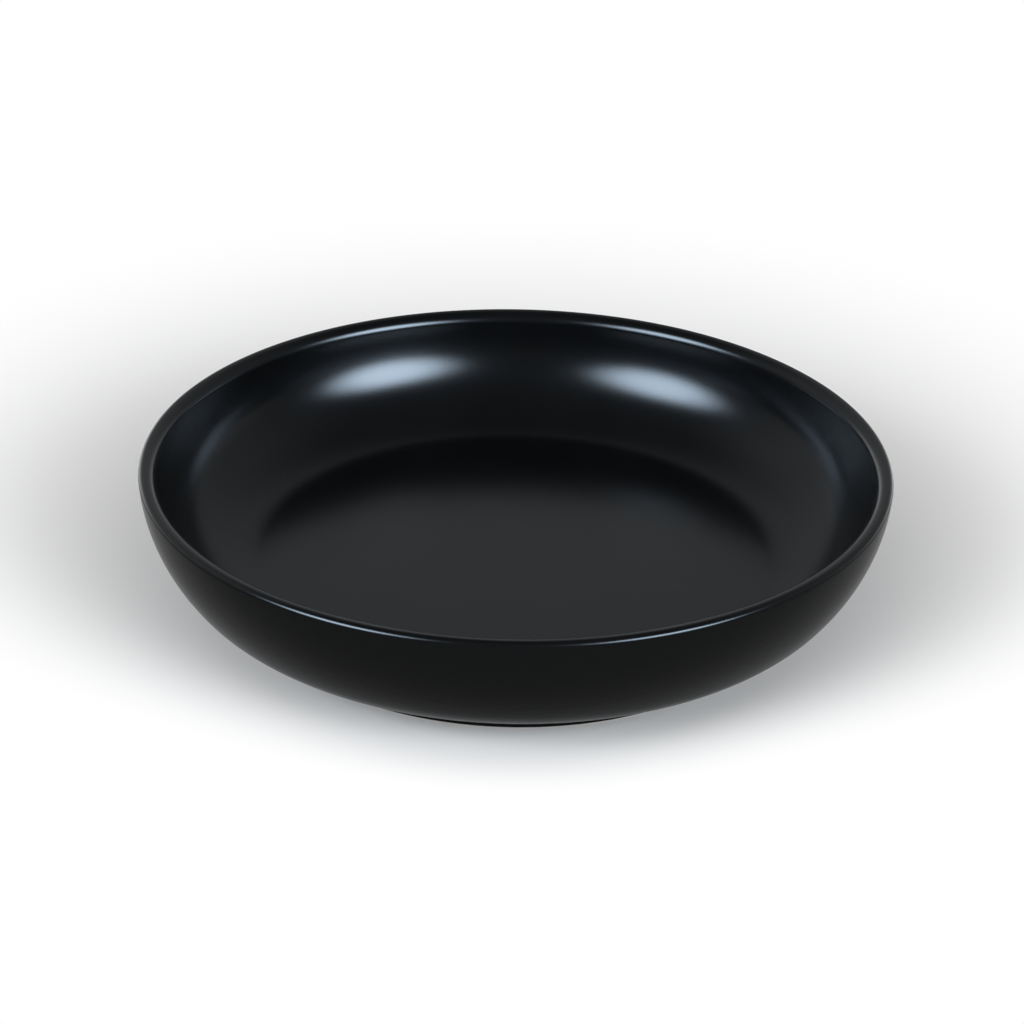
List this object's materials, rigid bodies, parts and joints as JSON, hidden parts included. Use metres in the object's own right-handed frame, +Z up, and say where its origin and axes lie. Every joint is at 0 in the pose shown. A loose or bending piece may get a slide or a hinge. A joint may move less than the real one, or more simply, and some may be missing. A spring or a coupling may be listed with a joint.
{
  "type": "soup plate",
  "caption": "Deep round soup plate with a curved wall, rounded lip and low foot ring, stoneware under a satin black glaze.",
  "frame": {"origin": "centre of the foot ring's standing face, on the table", "axes": "+Z up along the plate's axis; X and Y in the plane of the table, +Y away from the viewer of the picture"},
  "size_m": [0.21, 0.21, 0.043],
  "materials": {
    "fired_clay": "unglazed stoneware, sealed under the glaze",
    "bare_clay": "unglazed stoneware, bare on the standing face",
    "black_glaze": "satin black",
    "recess_glaze": "satin black, a little thinner"
  },
  "bodies": {
    "root": {"clay_body": "fired_clay", "foot_ring": "bare_clay", "glaze_coat": "black_glaze", "base_glaze": "recess_glaze"}
  },
  "joints": []
}
